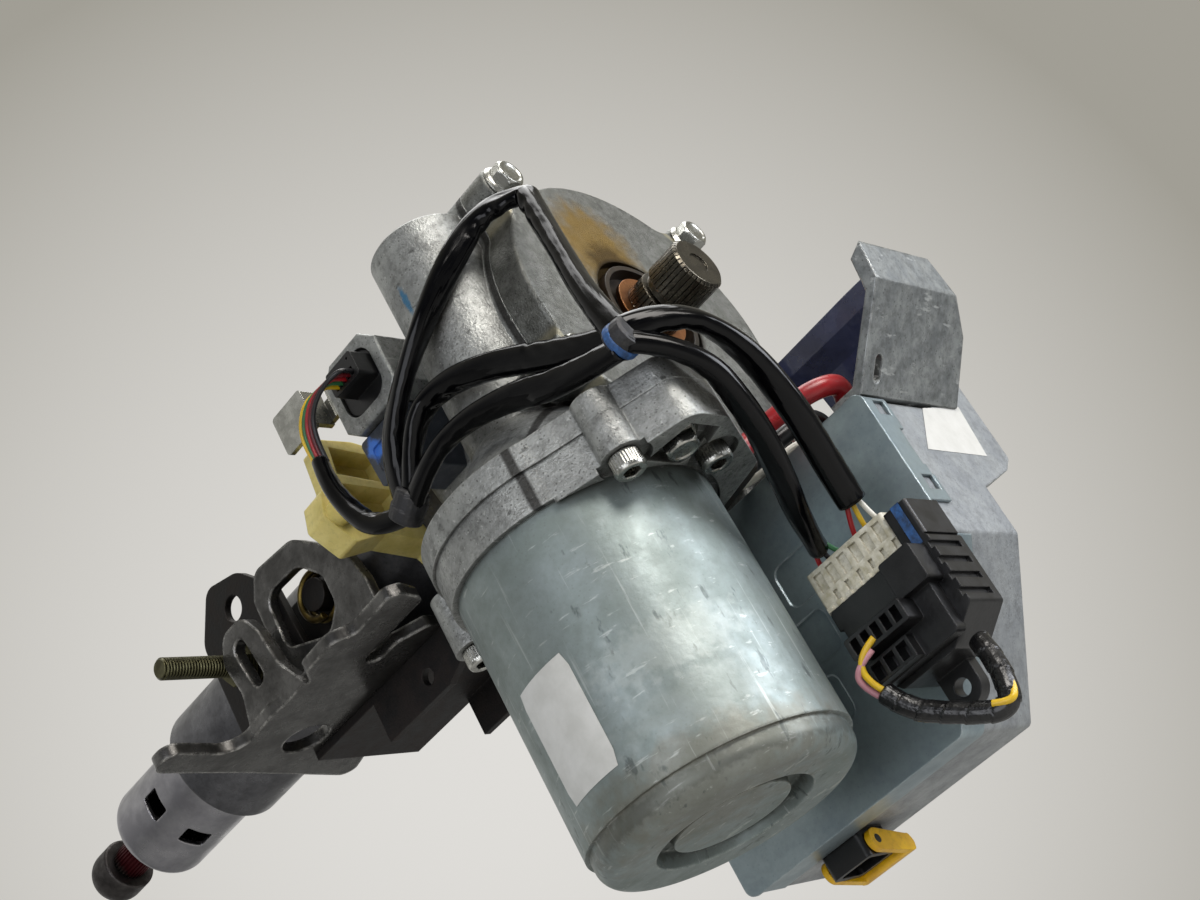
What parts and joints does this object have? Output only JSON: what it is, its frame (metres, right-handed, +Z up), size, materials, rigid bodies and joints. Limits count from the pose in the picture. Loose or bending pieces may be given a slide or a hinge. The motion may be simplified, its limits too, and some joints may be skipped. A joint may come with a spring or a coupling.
{
  "type": "electric power steering unit",
  "caption": "Column-mounted electric power steering unit: worm gearbox with splined output shaft, motor can, torque sensor, tilting column, control box and wiring.",
  "frame": {"origin": "where the column axis meets the outer face of the gearbox cover", "axes": "+X along the column axis towards the splined output shaft, +Z up away from the motor, +Y across"},
  "size_m": [0.4421, 0.1775, 0.2419],
  "materials": {
    "cast_aluminium": "cast, matt",
    "sheet_aluminium": "brushed sheet",
    "zinc_steel": "zinc plated",
    "zinc_sheet": "zinc plated sheet",
    "copper_ring": "copper coloured",
    "machined_steel": "machined",
    "bearing_steel": "ground",
    "bright_steel": "turned, bright",
    "dark_steel": "phosphated",
    "spring_steel": "yellow passivated",
    "plated_can": "zinc plated, drawn",
    "rusty_steel": "worn black paint with rust",
    "grey_paint": "grey dip paint",
    "dark_paint": "black paint",
    "magnet_iron": "sintered",
    "natural_nylon": "natural nylon",
    "white_plastic": "moulded",
    "black_plastic": "moulded",
    "grey_plastic": "moulded",
    "yellow_plastic": "moulded",
    "board_green": "lacquered board",
    "black_rubber": "moulded",
    "sleeve_plastic": "soft sleeving",
    "black_tape": "wound tape",
    "wire_plastic": "insulation in several colours",
    "lead_rubber": "insulation, one lead red, one black, one pale"
  },
  "bodies": {
    "bracket": {"mounting_bracket": "grey_paint", "tilt_plate": "dark_paint", "pivot_bracket": "rusty_steel", "pivot_bolt": "zinc_steel"},
    "output": {"output_shaft": "machined_steel", "dust_ring": "copper_ring", "wheel_hub": "machined_steel", "wheel_rim": "natural_nylon", "torsion_bar": "machined_steel", "front_torsion_pin": "machined_steel", "output_detection_ring": "machined_steel"},
    "worm": {"worm_shaft": "machined_steel", "coupling": "machined_steel", "rotor": "machined_steel"},
    "input": {"input_shaft": "machined_steel", "rear_torsion_pin": "machined_steel", "input_detection_ring": "machined_steel", "wheel_nut": "dark_steel"},
    "lever": {"power_lever": "yellow_plastic"},
    "column": {"adjuster_plug": "machined_steel", "brush_holder": "black_plastic", "circuit_board": "board_green", "clamp_block": "grey_paint", "column_tube": "grey_paint", "cover_bolts": "zinc_steel", "gear_cover": "cast_aluminium", "gear_housing": "cast_aluminium", "harness_clip": "natural_nylon", "harness_plug": "white_plastic", "harness_sleeves": "sleeve_plastic", "harness_ties": "black_tape", "harness_wires": "wire_plastic", "header": "black_plastic", "inner_sleeve": "bright_steel", "lead_grommets": "black_rubber", "magnets": "magnet_iron", "motor_can": "plated_can", "motor_fasteners": "zinc_steel", "motor_flange": "cast_aluminium", "output_seal": "black_rubber", "pivot_lug": "grey_paint", "power_leads": "lead_rubber", "power_socket": "black_plastic", "sensor_coil": "black_plastic", "sensor_connector": "black_plastic", "sensor_cover": "grey_plastic", "sensor_housing": "cast_aluminium", "shaft_bearings": "bearing_steel", "side_tab": "zinc_steel", "signal_plug": "black_plastic", "sleeve_bush": "black_plastic", "small_bearings": "bearing_steel", "splash_sheet": "dark_paint", "tail_loop": "black_tape", "tilt_fastener": "zinc_steel", "tilt_spring": "spring_steel", "unit_guard": "sheet_aluminium", "unit_housing": "cast_aluminium", "unit_lid": "zinc_sheet", "upper_bearing": "bearing_steel"}
  },
  "joints": [
    {"name": "tilt", "type": "hinge", "parent": "bracket", "child": "column", "pos_m": [-0.104, 0, -0.042], "axis": [0, 1, 0], "range_deg": [-2.2, 2.2], "deforming": ["tilt_spring"]},
    {"name": "steering", "type": "hinge", "parent": "column", "child": "output", "pos_m": [0, 0, 0], "axis": [1, 0, 0], "continuous": true},
    {"name": "worm_drive", "type": "hinge", "parent": "column", "child": "worm", "pos_m": [-0.0335, -0.052, 0], "axis": [0, 0, 1], "continuous": true},
    {"name": "input_twist", "type": "hinge", "parent": "output", "child": "input", "pos_m": [-0.1, 0, 0], "axis": [1, 0, 0], "range_deg": [-5, 5], "stiffness_Nm_per_rad": 140, "deforming": ["torsion_bar"]},
    {"name": "lever", "type": "hinge", "parent": "column", "child": "lever", "pos_m": [-0.0535, 0.025, -0.1775], "axis": [1, 0, 0], "range_deg": [-60, 0]}
  ],
  "couplings": [
    {"joint": "worm_drive", "follows": "steering", "ratio": 20.5}
  ]
}
